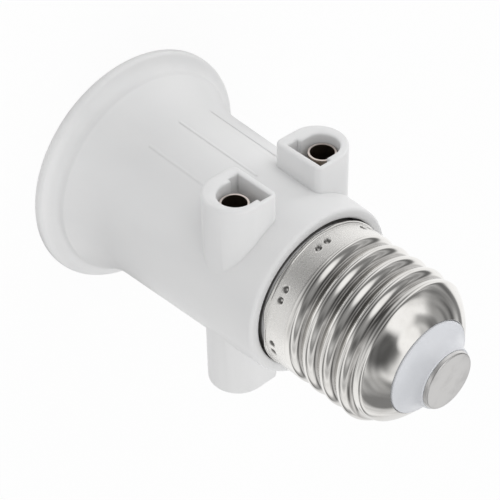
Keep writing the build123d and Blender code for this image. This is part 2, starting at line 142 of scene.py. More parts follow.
class Tree:
    """A node tree, of a material or of Geometry Nodes, with one method that adds any node."""

    def __init__(self, nodes: bpy.types.NodeTree) -> None:
        """Wrap an empty node tree."""
        self.nodes = nodes

    def node(self, kind: str, inputs: Mapping[Union[str, int], Item] | None = None,
             **settings: Any) -> bpy.types.Node:
        """Add a node.

        Args:
            kind: Node type.
            inputs: Values or links, by socket name or number.
            **settings: Properties of the node, set first.

        Returns:
            The new node.
        """
        made = self.nodes.nodes.new(kind)
        for name, setting in settings.items():
            setattr(made, name, setting)
        for key, item in (inputs or {}).items():
            if isinstance(key, int):
                socket = made.inputs[key]
            else:
                socket = next(s for s in made.inputs if s.name == key and s.enabled)
            if isinstance(item, Value):
                item = item.socket
            if isinstance(item, bpy.types.NodeSocket):
                self.nodes.links.new(item, socket)
            elif isinstance(item, (tuple, list)) and len(item) == 3 and socket.type == "RGBA":
                socket.default_value = (*item, 1.0)
            else:
                socket.default_value = item
        return made

    def output(self, made: bpy.types.Node, name: Union[str, int] = 0) -> bpy.types.NodeSocket:
        """Find one enabled output of a node.

        Args:
            made: The node.
            name: Name or number of the output.

        Returns:
            The output socket.
        """
        if isinstance(name, int):
            return [s for s in made.outputs if s.enabled][name]
        return next(s for s in made.outputs if s.name == name and s.enabled)

    def value(self, kind: str, inputs: Mapping[Union[str, int], Item] | None = None,
              output: Union[str, int] = 0, **settings: Any) -> Value:
        """Add a node and take one of its outputs as a number."""
        return Value(self, self.output(self.node(kind, inputs, **settings), output))

    def math(self, operation: str, *items: Item) -> Value:
        """Add one Math node."""
        return self.value("ShaderNodeMath", dict(enumerate(items)), operation=operation)

    def axes(self, vector: bpy.types.NodeSocket) -> tuple[Value, Value, Value]:
        """The three coordinates of a vector."""
        split = self.node("ShaderNodeSeparateXYZ", {"Vector": vector})
        return tuple(Value(self, s) for s in split.outputs)

    def vector(self, x: Item, y: Item, z: Item) -> bpy.types.NodeSocket:
        """A vector from three numbers."""
        return self.node("ShaderNodeCombineXYZ", {"X": x, "Y": y, "Z": z}).outputs[0]

    def mixed(self, share: Item, first: Item, second: Item) -> bpy.types.NodeSocket:
        """A colour between two others."""
        made = self.node("ShaderNodeMix", {"Factor": share, "A": first, "B": second}, data_type="RGBA")
        return self.output(made)

    def noise(self, place: Item, size: float, detail: float = 2.0, rough: float = 0.5) -> Value:
        """Soft random pattern from 0 to 1, with features of one size in metres."""
        return self.value("ShaderNodeTexNoise", {"Vector": place, "Scale": 1 / size, "Detail": detail,
                                                 "Roughness": rough}, output="Fac")


class Paint(Tree):
    """Node tree of one material around a Principled shader."""

    def __init__(self, name: str) -> None:
        """Start an empty material.

        Args:
            name: Name of the material.
        """
        self.material = bpy.data.materials.new(name)
        self.material.use_nodes = True
        super().__init__(self.material.node_tree)
        self.nodes.nodes.clear()
        self.place = self.node("ShaderNodeTexCoord").outputs["Object"]

    def stretched(self, x: float, y: float, z: float) -> bpy.types.NodeSocket:
        """Object coordinates with each axis scaled."""
        return self.output(self.node("ShaderNodeMapping", {"Vector": self.place, "Scale": (x, y, z)}))

    def bumped(self, height: Value, depth: float, edge: float = 0.0) -> bpy.types.NodeSocket:
        """Normal of a surface raised by a height pattern.

        Args:
            height: The pattern.
            depth: Its depth in metres.
            edge: Radius that edges and inner corners are softened to, in metres.

        Returns:
            The normal.
        """
        inputs = {"Strength": 1.0, "Distance": depth, "Height": height}
        if edge:
            inputs["Normal"] = self.output(self.node("ShaderNodeBevel", {"Radius": edge}, samples=8))
        return self.output(self.node("ShaderNodeBump", inputs))

    def finished(self, inputs: Mapping[str, Item]) -> bpy.types.Material:
        """Join a Principled shader to the output and hand over the material.

        Args:
            inputs: Values or links of the shader, by socket name.

        Returns:
            The material.
        """
        shader = self.node("ShaderNodeBsdfPrincipled", inputs)
        self.node("ShaderNodeOutputMaterial", {"Surface": shader.outputs[0]})
        return self.material


@dataclass(frozen=True)
class DarkRing:
    """Ring-shaped gap around the axis that little light gets into."""

    inner: float
    outer: float
    low: float
    high: float
    soft: float = 0.05 * MM

    def share(self, paint: Paint) -> Value:
        """How far a point lies in the gap.

        Args:
            paint: Material to add the nodes to.

        Returns:
            1 inside the gap and 0 outside it, with soft borders.
        """
        x, y, z = paint.axes(paint.place)
        radius = (x * x + y * y).root()
        return (radius.ramp(self.inner - self.soft, self.inner)
                * (1.0 - radius.ramp(self.outer, self.outer + self.soft))
                * z.ramp(self.low - self.soft, self.low)
                * (1.0 - z.ramp(self.high, self.high + 3 * self.soft)))


@dataclass(frozen=True)
class MouldedPlastic:
    """Injection-moulded plastic with a fine grain and faint flow marks."""

    name: str
    colour: Colour
    shade: Colour
    roughness: float = 0.36
    grain: float = 0.35 * MM
    grain_depth: float = 0.008 * MM
    flow: float = 9 * MM
    speck: float = 1.6 * MM
    edge: float = 0.0
    gap: DarkRing | None = None

    def material(self) -> bpy.types.Material:
        """Build the material.

        Returns:
            The material.
        """
        paint = Paint(self.name)
        flow = paint.noise(paint.stretched(1.0, 1.0, 0.35), self.flow, 3.0)
        grain = paint.noise(paint.place, self.grain, 3.0, 0.6)
        speck = paint.noise(paint.place, self.speck, 4.0).ramp(0.66, 0.74)
        colour = paint.mixed(flow.ramp(0.3, 0.7) * 0.8 + speck * 0.12, self.colour, self.shade)
        if self.gap:
            colour = paint.mixed(self.gap.share(paint), colour, GAP_SHADE)
        return paint.finished({
            "Base Color": colour,
            "Roughness": flow * 0.08 + grain * 0.06 + (self.roughness - 0.07),
            "Normal": paint.bumped(grain + flow * 1.5, self.grain_depth, self.edge),
            "Specular IOR Level": 0.5,
        })


class Lay(Enum):
    """Direction of the fine marks that forming leaves in sheet metal."""

    AROUND = "around the axis"
    ALONG = "along the axis"
    PLAIN = "none"


@dataclass
class Coat:
    """Colour, roughness, relief and share of metal of a surface while its material is built."""

    colour: Item
    rough: Value
    height: Value
    metal: Item = 1.0


@dataclass(frozen=True)
class CapWear:
    """Satin skirt, pressed seam, punch marks with painted shade and darker thread grooves of the screw cap.
    """

    satin: Colour = (0.88, 0.865, 0.84)
    satin_top: float = 52.5 * MM
    grain: float = 0.22 * MM
    grain_height: float = 13.0
    bead_top: float = 47.95 * MM
    seam_height: float = 48.25 * MM
    seam_half: float = 0.16 * MM
    seam_count: float = 110.0
    seam_depth: float = 12.0
    punch_height: float = 49.6 * MM
    punch_start: float = math.radians(-80.5)
    punch_half_pair: float = math.radians(4.25)
    punch_step: float = math.radians(45)
    punch_radius: float = 0.66 * MM
    root: float = 12.3 * MM
    crest: float = 12.6 * MM
    thread_top: float = 66.5 * MM

    def punched(self, paint: Paint, x: Value, y: Value, z: Value) -> Value:
        """Painted shade around the bottom of the punch marks.

        Args:
            paint: Material to add the nodes to.
            x: First coordinate.
            y: Second coordinate.
            z: Height.

        Returns:
            Share of painted shade from 0 to 1.
        """
        angle = paint.math("ARCTAN2", y, x)
        around = (angle - self.punch_start + self.punch_step * 0.5) % self.punch_step - self.punch_step * 0.5
        across = (abs(around) - self.punch_half_pair) * (x * x + y * y).root()
        rise = z - self.punch_height
        away = (across * across + rise * rise).root() / self.punch_radius
        return away.ramp(0.1, 0.5) * (1.0 - away.ramp(0.65, 1.0))

    def seam(self, paint: Paint, x: Value, y: Value, z: Value) -> Value:
        """Line of small pressed dots above the bead.

        Args:
            paint: Material to add the nodes to.
            x: First coordinate.
            y: Second coordinate.
            z: Height.

        Returns:
            Share of the pressing from 0 to 1.
        """
        line = 1.0 - (abs(z - self.seam_height) / self.seam_half).ramp(0.3, 1.0)
        return line * ((paint.math("ARCTAN2", y, x) * self.seam_count).cosine().ramp(-0.2, 0.8) * 0.6 + 0.4)

    def hollow(self, x: Value, y: Value, z: Value) -> Value:
        """Bottom of the thread's grooves.

        Args:
            x: First coordinate.
            y: Second coordinate.
            z: Height.

        Returns:
            1 at the bottom and 0 at the crests and outside the thread.
        """
        low, high = self.satin_top, self.thread_top
        deep = (1.0 - (x * x + y * y).root().ramp(self.root, self.crest)) * z.ramp(low, low + MM)
        return deep * (1.0 - z.ramp(high - MM, high))

    def over(self, paint: Paint, coat: Coat, bright: Colour, cloud: Value) -> Coat:
        """Lay the satin, the seam, the painted shade of the punch marks and the darker groove bottoms over
        the plating.

        Args:
            paint: Material to add the nodes to.
            coat: The plating as it is elsewhere.
            bright: Its colour where the satin is worn.
            cloud: Large soft pattern that thins the darkening in the grooves.

        Returns:
            The worn coat.
        """
        x, y, z = paint.axes(paint.place)
        above = 1.0 - z.ramp(self.satin_top - 0.5 * MM, self.satin_top)
        satin = above * z.ramp(self.bead_top, self.bead_top + 0.2 * MM)
        grain = paint.noise(paint.place, self.grain, 2.0, 0.7)
        colour = paint.mixed(satin, coat.colour, paint.mixed(grain * 0.5, self.satin, bright))
        relief = grain * self.grain_height - self.seam(paint, x, y, z) * self.seam_depth
        # Painted shade: the colour darkens around the bottom of the punch marks.
        colour = paint.mixed(self.punched(paint, x, y, z) * 0.85, colour, PUNCH_PAINTED_SHADE)
        # The colour darkens towards the bottom of the thread grooves, thinned by the cloud pattern.
        colour = paint.mixed(self.hollow(x, y, z) * (cloud * 0.5 + 0.45), colour, GROOVE_BOTTOM_DARK)
        return Coat(colour, coat.rough + satin * (grain * 0.22 + 0.12), coat.height + satin * relief,
                    1.0 - satin * 0.2)


@dataclass(frozen=True)
class SheetMetal:
    """Rolled, drawn or plated metal with marks in one direction."""

    name: str
    colour: Colour
    dull: Colour
    roughness: float
    lay: Lay = Lay.PLAIN
    mark: float = 0.12 * MM
    mark_depth: float = 0.002 * MM
    stain: float = 2.6 * MM
    haze: float = 0.12
    tarnish: float = 0.5
    highlit_bare_end: float = 0.0
    wear: CapWear | None = None

    def marks(self, paint: Paint) -> Value:
        """Fine marks in the direction of the lay.

        Args:
            paint: Material to add the nodes to.

        Returns:
            Height pattern from 0 to 1.
        """
        x, y, z = paint.axes(paint.place)
        if self.lay is Lay.AROUND:
            turn = paint.math("ARCTAN2", y, x) * (12 * MM)
            place = paint.vector((x * x + y * y).root(), turn * 0.06, z)
        elif self.lay is Lay.ALONG:
            place = paint.vector(x, y, z * 0.05)
        else:
            place = paint.place
        return paint.noise(place, self.mark, 3.0, 0.7)

    def material(self) -> bpy.types.Material:
        """Build the material.

        Returns:
            The material.
        """
        paint = Paint(self.name)
        marks = self.marks(paint)
        cloud = paint.noise(paint.place, self.stain, 4.0, 0.6)
        stain = cloud.ramp(0.45, 0.75) * self.tarnish
        coat = Coat(paint.mixed(stain, self.colour, self.dull), stain * self.haze + marks * 0.06,
                    marks + cloud * 0.6)
        # The tube's end rim is lighter: a painted highlight, together with the bared metal of the cut end.
        if self.highlit_bare_end:
            across = abs(paint.axes(paint.place)[1])
            worn = across.ramp(self.highlit_bare_end - 0.16 * MM, self.highlit_bare_end - 0.08 * MM)
            coat.colour = paint.mixed(worn, coat.colour, RIM_HIGHLIGHT_AND_BARE_METAL)
        if self.wear:
            coat = self.wear.over(paint, coat, self.colour, cloud)
        return paint.finished({
            "Base Color": coat.colour,
            "Metallic": coat.metal,
            "Roughness": coat.rough + (self.roughness - 0.03),
            "Normal": paint.bumped(coat.height, self.mark_depth),
        })


@dataclass(frozen=True)
class WireSheath:
    """Coloured insulation between two heights, bare tinned copper beyond them."""

    name: str
    colour: Colour
    bare: Colour
    low: float
    high: float

    def material(self) -> bpy.types.Material:
        """Build the material.

        Returns:
            The material.
        """
        paint = Paint(self.name)
        _, _, z = paint.axes(paint.place)
        edge = 0.05 * MM
        covered = z.ramp(self.low - edge, self.low) * (1.0 - z.ramp(self.high, self.high + edge))
        scuff = paint.noise(paint.place, 0.7 * MM, 4.0)
        strand = paint.noise(paint.stretched(1.0, 1.0, 0.1), 0.15 * MM)
        skin = paint.mixed(scuff * 0.3, self.colour, tuple(min(1.0, c * 1.6 + 0.04) for c in self.colour))
        return paint.finished({
            "Base Color": paint.mixed(covered, self.bare, skin),
            "Metallic": 1.0 - covered,
            "Roughness": scuff * 0.1 + covered * 0.12 + 0.25,
            "Normal": paint.bumped(strand * (1.0 - covered) + scuff * 0.5, 0.01 * MM),
        })


WHITE_MOULDING = MouldedPlastic("white_moulding", (0.80, 0.80, 0.80), (0.775, 0.777, 0.78),
                                edge=0.4 * MM, gap=DarkRing(11.7 * MM, 13.36 * MM, 44.3 * MM, 46.7 * MM))
WHITE_PLUG = MouldedPlastic("white_plug", (0.67, 0.68, 0.71), (0.63, 0.645, 0.675), roughness=0.30)
WHITE_FLOOR = MouldedPlastic("white_socket_floor", (0.76, 0.755, 0.74), (0.70, 0.695, 0.68), roughness=0.45)
CAP_WEAR = CapWear()
BRIGHT_NICKEL = SheetMetal("bright_nickel", (0.80, 0.785, 0.76), (0.70, 0.68, 0.65), 0.06, Lay.AROUND,
                           mark_depth=0.0015 * MM, haze=0.06, wear=CAP_WEAR)
BRUSHED_CONTACT = SheetMetal("brushed_contact", (0.74, 0.73, 0.72), (0.60, 0.59, 0.58), 0.30, Lay.AROUND)
SPRING_BRASS = SheetMetal("spring_brass", (0.78, 0.60, 0.30), (0.58, 0.42, 0.20), 0.28, Lay.ALONG)
DARK_TUBE = SheetMetal("tarnished_tube", (0.40, 0.33, 0.27), (0.18, 0.13, 0.10), 0.35, Lay.PLAIN)
ZINC_STEEL = SheetMetal("zinc_steel", (0.70, 0.70, 0.69), (0.52, 0.53, 0.54), 0.30, Lay.PLAIN)
SOFT_SOLDER = SheetMetal("soft_solder", (0.62, 0.62, 0.62), (0.45, 0.45, 0.46), 0.42, Lay.PLAIN,
                         mark_depth=0.01 * MM)


def dress(piece: bpy.types.Object, material: bpy.types.Material) -> None:
    """Give a whole piece one material."""
    piece.data.materials.clear()
    piece.data.materials.append(material)


def keep(node: str, material: bpy.types.Material) -> bpy.types.Object:
    """Show a solid as it is, under a new material.

    Args:
        node: Name of the solid.
        material: Its finish.

    Returns:
        The solid's object.
    """
    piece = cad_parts[node]
    dress(piece, material)
    log.info("kept %s", node)
    return piece


def settle(piece: bpy.types.Object, slot: str, *nodes: str) -> bpy.types.Object:
    """Mount a finished piece in place of one or more solids.

    Args:
        piece: The piece, at the origin.
        slot: Name of a material slot; not used.
        *nodes: Solids that it stands for.

    Returns:
        The piece.
    """
    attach(piece, BODY)
    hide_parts(*nodes)
    log.info("made %s, %d faces", piece.name, len(piece.data.polygons))
    return piece


class Profile:
    """Outline of a turned piece, as (radius, height) points in metres."""

    def __init__(self, radius: float, height: float) -> None:
        """Start at one point."""
        self.points: list[Point] = [(radius, height)]

    def line(self, radius: float, height: float, steps: int = 1) -> "Profile":
        """Go straight to a point in equal steps.

        Args:
            radius: Radius of the point.
            height: Height of the point.
            steps: Number of steps.

        Returns:
            The profile, for the next step.
        """
        r0, z0 = self.points[-1]
        for i in range(1, steps + 1):
            self.points.append((r0 + (radius - r0) * i / steps, z0 + (height - z0) * i / steps))
        return self

    def arc(self, radius: float, height: float, bow: float, steps: int = 8) -> "Profile":
        """Go along an arc that bows to the left of its chord.

        Args:
            radius: Radius of the end point.
            height: Height of the end point.
            bow: Largest distance from the chord, negative to the right.
            steps: Number of straight steps.

        Returns:
            The profile, for the next step.
        """
        start, end = Vector(self.points[-1]), Vector((radius, height))
        chord = end - start
        half = chord.length / 2
        side = Vector((-chord.y, chord.x)).normalized() * math.copysign(1.0, bow)
        swing = 4 * math.atan(abs(bow) / half)
        size = half / math.sin(swing / 2)
        centre = (start + end) / 2 - side * size * math.cos(swing / 2)
        for i in range(1, steps + 1):
            angle = swing * (i / steps - 0.5)
            spot = centre + side * size * math.cos(angle) + chord.normalized() * size * math.sin(angle)
            self.points.append((spot.x, spot.y))
        return self


def formed(name: str, mesh: bmesh.types.BMesh) -> bpy.types.Object:
    """Put a finished mesh into the scene.

    Args:
        name: Name of the piece.
        mesh: Its mesh, which is used up.

    Returns:
        The new object, at the origin.
    """
    data = bpy.data.meshes.new(name)
    mesh.to_mesh(data)
    mesh.free()
    piece = bpy.data.objects.new(name, data)
    bpy.context.scene.collection.objects.link(piece)
    return piece


def turned(name: str, profile: Profile, segments: int) -> bpy.types.Object:
    """Turn a closed profile about the axis.

    Args:
        name: Name of the piece.
        profile: Its outline; points on the axis become poles.
        segments: Steps around.

    Returns:
        The new object, smooth-shaded, with its faces outwards.
    """
    mesh = bmesh.new()
    rings = []
    for radius, height in profile.points:
        count = segments if radius > 1e-7 else 1
        rings.append([mesh.verts.new((radius * math.cos(2 * math.pi * i / segments),
                                      radius * math.sin(2 * math.pi * i / segments), height))
                      for i in range(count)])
    closed = profile.points[0][0] > 1e-7 or profile.points[-1][0] > 1e-7
    pairs = list(zip(rings, rings[1:])) + ([(rings[-1], rings[0])] if closed else [])
    for low, high in pairs:
        for i in range(segments):
            j = (i + 1) % segments
            corners = [low[i % len(low)], low[j % len(low)], high[j % len(high)], high[i % len(high)]]
            corners = list(dict.fromkeys(corners))
            if len(corners) > 2:
                mesh.faces.new(corners)
    bmesh.ops.recalc_face_normals(mesh, faces=mesh.faces)
    piece = formed(name, mesh)
    smooth(piece)
    return piece


def smooth(piece: bpy.types.Object, crease: float = 35.0) -> None:
    """Shade a piece smooth and leave its sharp edges sharp.

    Args:
        piece: The piece.
        crease: Angle in degrees from which an edge stays sharp.
    """
    data = piece.data
    data.polygons.foreach_set("use_smooth", [True] * len(data.polygons))
    mesh = bmesh.new()
    mesh.from_mesh(data)
    limit = math.radians(crease)
    for edge in mesh.edges:
        edge.smooth = len(edge.link_faces) == 2 and edge.calc_face_angle(0.0) < limit
    mesh.to_mesh(data)
    mesh.free()


class Join(Enum):
    """Ways to combine two closed pieces."""

    ADD = "UNION"
    CUT = "DIFFERENCE"
    SHARE = "INTERSECT"


def applied(piece: bpy.types.Object) -> bpy.types.Object:
    """Turn a piece and its modifiers into a plain mesh.

    Args:
        piece: The piece.

    Returns:
        The same piece, without modifiers.
    """
    graph = bpy.context.evaluated_depsgraph_get()
    result = bpy.data.meshes.new_from_object(piece.evaluated_get(graph))
    piece.modifiers.clear()
    old, piece.data = piece.data, result
    bpy.data.meshes.remove(old)
    result.name = piece.name
    return piece


def combined(piece: bpy.types.Object, way: Join, tool: bpy.types.Object) -> bpy.types.Object:
    """Combine a piece with another one.

    Args:
        piece: The piece that stays.
        way: What to do with the other one.
        tool: The other one, which is used up.

    Returns:
        The piece with its new mesh.
    """
    modifier = piece.modifiers.new("combine", "BOOLEAN")
    modifier.operation, modifier.solver, modifier.object = way.value, "MANIFOLD", tool
    applied(piece)
    bpy.data.objects.remove(tool)
    return piece


def rounded_run(centre: Point, radius: float, start: float, end: float, steps: int) -> list[Point]:
    """Points of an arc between two angles in degrees."""
    angles = [math.radians(start + (end - start) * i / steps) for i in range(steps + 1)]
    return [(centre[0] + radius * math.cos(a), centre[1] + radius * math.sin(a)) for a in angles]


def widened(outline: Sequence[Point], distance: float) -> list[Point]:
    """Move an anticlockwise outline outwards, or inwards by a negative distance.

    Args:
        outline: Its points.
        distance: How far.

    Returns:
        The moved points.
    """
    moved = []
    for i, here in enumerate(outline):
        first = (Vector(here) - Vector(outline[i - 1])).normalized()
        second = (Vector(outline[(i + 1) % len(outline)]) - Vector(here)).normalized()
        out = Vector((first.y + second.y, -first.x - second.x)) / (1 + first.dot(second))
        moved.append((here[0] + out.x * distance, here[1] + out.y * distance))
    return moved


def stacked(name: str, outline: Sequence[Point], stations: Sequence[Point],
            mirrored: Sequence[int] = (1,)) -> bpy.types.Object:
    """Loft an outline in the XZ plane along Y.

    Args:
        name: Name of the piece.
        outline: Anticlockwise (x, z) points.
        stations: (y, widening) pairs, in order along Y.
        mirrored: A factor on X for each copy.

    Returns:
        The closed pieces in one object, with faces outwards.
    """
    mesh = bmesh.new()
    for side in mirrored:
        rings = [[mesh.verts.new((side * x, y, z)) for x, z in widened(outline, wide)]
                 for y, wide in stations]
        count = len(outline)
        for low, high in zip(rings, rings[1:]):
            for i in range(count):
                j = (i + 1) % count
                mesh.faces.new((low[i], low[j], high[j], high[i]))
        mesh.faces.new(rings[0])
        mesh.faces.new(rings[-1])
    bmesh.ops.recalc_face_normals(mesh, faces=mesh.faces)
    return formed(name, mesh)


def grown(piece: bpy.types.Object, group: bpy.types.NodeTree, inputs: Mapping[str, Any]) -> bpy.types.Object:
    """Run a Geometry Nodes group on a piece and keep the result as its plain mesh.

    Args:
        piece: Object whose mesh goes in.
        group: The node group.
        inputs: Values of the group's named inputs.

    Returns:
        The same object with its new mesh.
    """
    modifier = piece.modifiers.new("shape", "NODES")
    modifier.node_group = group
    sockets = {s.name: s.identifier for s in group.interface.items_tree if s.in_out == "INPUT"}
    for name, value in inputs.items():
        modifier[sockets[name]] = value
    return applied(piece)


class Shape(Tree):
    """Geometry Nodes tree with named inputs."""

    def __init__(self, name: str) -> None:
        """Start an empty group that takes and gives geometry.

        Args:
            name: Name of the group.
        """
        super().__init__(bpy.data.node_groups.new(name, "GeometryNodeTree"))
        self.add_socket("Geometry", "NodeSocketGeometry", "INPUT")
        self.add_socket("Geometry", "NodeSocketGeometry", "OUTPUT")
        self.entry = self.node("NodeGroupInput")
        self.place = self.node("GeometryNodeInputPosition").outputs[0]

    def add_socket(self, name: str, kind: str, side: str) -> None:
        """Add one socket to the group's face."""
        self.nodes.interface.new_socket(name, in_out=side, socket_type=kind)

    def number(self, name: str, default: float) -> Value:
        """Add a named number that the group takes.

        Args:
            name: Name of the input.
            default: Its value when none is given.

        Returns:
            The number inside the group.
        """
        self.add_socket(name, "NodeSocketFloat", "INPUT")
        self.nodes.interface.items_tree[name].default_value = default
        return Value(self, self.entry.outputs[name])

    def finish(self, geometry: bpy.types.NodeSocket, material: bpy.types.Material) -> bpy.types.NodeTree:
        """Realise, paint and hand over the group.

        Args:
            geometry: The finished shape.
            material: Its material.

        Returns:
            The node group.
        """
        real = self.node("GeometryNodeRealizeInstances", {"Geometry": geometry})
        painted = self.node("GeometryNodeSetMaterial", {"Geometry": real.outputs[0], "Material": material})
        self.node("NodeGroupOutput", {"Geometry": painted.outputs[0]})
        return self.nodes


def rolled_shell_group(material: bpy.types.Material) -> bpy.types.NodeTree:
    """Geometry Nodes group that rolls a helical groove, punch marks and a wavy edge into a turned shell.

    Args:
        material: Finish of the shell.

    Returns:
        The node group, with its sizes as named inputs.
    """
    shape = Shape("rolled_shell")
    pitch = shape.number("Pitch", 3.629 * MM)
    phase = shape.number("Groove Height", 0.0)
    depth = shape.number("Groove Depth", 0.85 * MM)
    first = shape.number("First Turn", 0.0)
    last = shape.number("Last Turn", 4.0)
    fade = shape.number("Run Out Turns", 0.25)
    narrow = shape.number("Groove Narrowing", 1.0)
    mark_height = shape.number("Mark Height", 0.0)
    mark_step = shape.number("Mark Step", math.pi / 4)
    mark_start = shape.number("Mark Start", 0.0)
    mark_half = shape.number("Mark Half Pair", 0.074)
    mark_size = shape.number("Mark Radius", 0.7 * MM)
    mark_depth = shape.number("Mark Depth", 0.0)
    edge = shape.number("Edge Height", 0.0)
    edge_reach = shape.number("Edge Reach", 1.5 * MM)
    edge_wave = shape.number("Edge Wave", 0.0)
    lift_angle = shape.number("Lift Angle", 0.0)
    lift_half = shape.number("Lift Half Width", 0.3)
    lift = shape.number("Lift", 0.0)
    x, y, z = shape.axes(shape.place)
    radius = (x * x + y * y).root()
    angle = shape.math("ARCTAN2", y, x)
    turn = (angle / (2 * math.pi)) % 1.0
    count = (z - phase) / pitch - turn
    groove = count.rounded()
    travel = groove + turn
    bell = ((count - groove) * (2 * math.pi)).cosine() * 0.5 + 0.5
    running = travel.ramp(first, first + fade) * (1.0 - travel.ramp(last - fade, last))
    rolled = (bell ** narrow) * running * depth
    around = (angle - mark_start + mark_step * 0.5) % mark_step - mark_step * 0.5
    across = (abs(around) - mark_half) * radius
    rise = z - mark_height
    punched = (1.0 - ((across * across + rise * rise).root() / mark_size).ramp(0.35, 1.0)) * mark_depth
    near_edge = 1.0 - (z - edge).ramp(0.0, edge_reach)
    circle = shape.vector(angle.cosine(), angle.sine(), 0.0)
    wave = (shape.noise(circle, 0.3, 2.0) - 0.5) * 2.0 * edge_wave
    bend = shape.math("PINGPONG", angle - lift_angle, math.pi)
    lifted = (1.0 - bend.ramp(0.0, lift_half)) * lift
    share = (radius - rolled - punched + near_edge * lifted * 0.12) / radius
    moved = shape.vector(x * share, y * share, z + near_edge * (wave + lifted))
    placed = shape.node("GeometryNodeSetPosition", {"Geometry": shape.entry.outputs["Geometry"],
                                                    "Position": moved})
    return shape.finish(placed.outputs[0], material)


@dataclass
class ScrewCap:
    """Screw shell with its rolled thread, the white plug and the centre contact."""

    pitch: float = 3.629 * MM
    sheet: float = 0.35 * MM
    thread_depth: float = 0.85 * MM
    skirt_length: float = 5.4 * MM
    bead: float = 0.18 * MM
    first_groove: float = 7.96 * MM
    punch_rise: float = 2.4 * MM
    punch_depth: float = 0.5 * MM
    dome_drop: float = 5.15 * MM
    dome_bow: float = 0.5 * MM
    plug_radius: float = 8.15 * MM
    plug_flange: float = 0.85 * MM
    flange_setback: float = 1.05 * MM
    columns: int = 330
    shell_low: Vector = field(default_factory=lambda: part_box("screw_cap_shell")[0])
    shell_high: Vector = field(default_factory=lambda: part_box("screw_cap_shell")[1])

    def shell(self, nickel: bpy.types.Material) -> bpy.types.Object:
        """Roll the shell from a turned cup.

        Args:
            nickel: Finish of the shell.

        Returns:
            The shell.
        """
        low, high = self.shell_low.z, self.shell_high.z
        radius = self.shell_high.x - 0.02 * MM
        skirt, step = radius - 0.03 * MM, low + self.skirt_length
        dome = high - self.dome_drop
        mouth = self.plug_radius + 0.1 * MM
        cup = Profile(skirt - self.sheet, low + 0.1 * MM)
        cup.arc(skirt + self.bead, low + 0.35 * MM, -0.12 * MM, 6)
        cup.arc(skirt + 0.02 * MM, low + 0.85 * MM, -0.08 * MM, 6).line(skirt, step - 0.3 * MM, 34)
        cup.line(radius, step + 0.1 * MM, 3).line(radius, dome, 100)
        cup.arc(mouth + 0.1 * MM, high - 0.06 * MM, -self.dome_bow, 36)
        cup.arc(mouth, high - self.sheet, -0.1 * MM, 4)
        cup.line(radius - 0.7 * MM, dome + 1.2 * MM, 12).line(radius - self.sheet, dome + 0.2 * MM, 3)
        cup.line(radius - self.sheet, step + 0.1 * MM, 50).line(skirt - self.sheet, step - 0.4 * MM, 2)
        cup.line(skirt - self.sheet, low + 0.3 * MM, 18)
        piece = turned("rolled_cap_shell", cup, self.columns)
        grown(piece, rolled_shell_group(nickel), {
            "Pitch": self.pitch, "Groove Height": low + self.first_groove, "Groove Depth": self.thread_depth,
            "First Turn": -0.9, "Last Turn": 3.55, "Run Out Turns": 0.3, "Groove Narrowing": 1.0,
            "Mark Height": low + self.punch_rise, "Mark Step": CAP_WEAR.punch_step,
            "Mark Start": CAP_WEAR.punch_start, "Mark Half Pair": CAP_WEAR.punch_half_pair,
            "Mark Radius": CAP_WEAR.punch_radius, "Mark Depth": self.punch_depth,
            "Edge Height": low, "Edge Reach": 1.6 * MM, "Edge Wave": 0.38 * MM,
            "Lift Angle": math.radians(-1), "Lift Half Width": math.radians(17), "Lift": 0.65 * MM,
        })
        smooth(piece)
        return settle(piece, "nickel_plate", "screw_cap_shell")

    def plug(self) -> bpy.types.Object:
        """Turn the white plug with its hollow flank.

        Returns:
            The plug.
        """
        low, high = (v.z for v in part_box("cap_insulator"))
        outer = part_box("cap_insulator")[1].x - self.flange_setback
        shoulder, tip = self.shell_high.z + 0.25 * MM, 5.35 * MM
        hole, hollow, roof = 1.55 * MM, 7.0 * MM, low + 3.15 * MM
        form = Profile(hole, roof).line(hollow, roof, 2).line(hollow, low).line(outer, low)
        form.line(outer, low + self.plug_flange).line(self.plug_radius, self.shell_high.z - 0.45 * MM, 2)
        form.line(self.plug_radius, shoulder - 0.15 * MM, 3)
        form.arc(self.plug_radius - 0.16 * MM, shoulder, -0.05 * MM, 4)
        form.arc(tip, high - 0.1 * MM, 0.53 * MM, 18).arc(tip - 0.1 * MM, high, -0.03 * MM, 3)
        form.line(hole, high, 2)
        piece = turned("cap_plug", form, 192)
        dress(piece, WHITE_PLUG.material())
        return settle(piece, "white_insulator", "cap_insulator")

    def contact(self) -> bpy.types.Object:
        """Turn the contact disc and its hollow shank.

        Returns:
            The disc.
        """
        low, high = (v.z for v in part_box("cap_centre_contact"))
        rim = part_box("cap_centre_contact")[1].x
        seat, bore, shank, roof = high - 0.875 * MM, 0.9 * MM, 1.5 * MM, 0.2 * MM
        form = Profile(bore, low).line(shank, low).line(shank, seat).line(rim - 0.05 * MM, seat, 3)
        form.line(rim, seat + 0.08 * MM).line(rim - 0.1 * MM, high - 0.4 * MM, 3)
        form.arc(rim - 0.32 * MM, high - 0.16 * MM, -0.05 * MM, 6).arc(0.0, high, -0.06 * MM, 20)
        form.line(0.0, seat + roof).line(bore, seat + roof)
        piece = turned("contact_disc", form, 160)
        dress(piece, BRUSHED_CONTACT.material())
        return settle(piece, "tinned_contact", "cap_centre_contact")

    def build(self, nickel: bpy.types.Material) -> None:
        """Make the three pieces of the cap.

        Args:
            nickel: Finish of the shell.
        """
        self.shell(nickel)
        self.plug()
        self.contact()


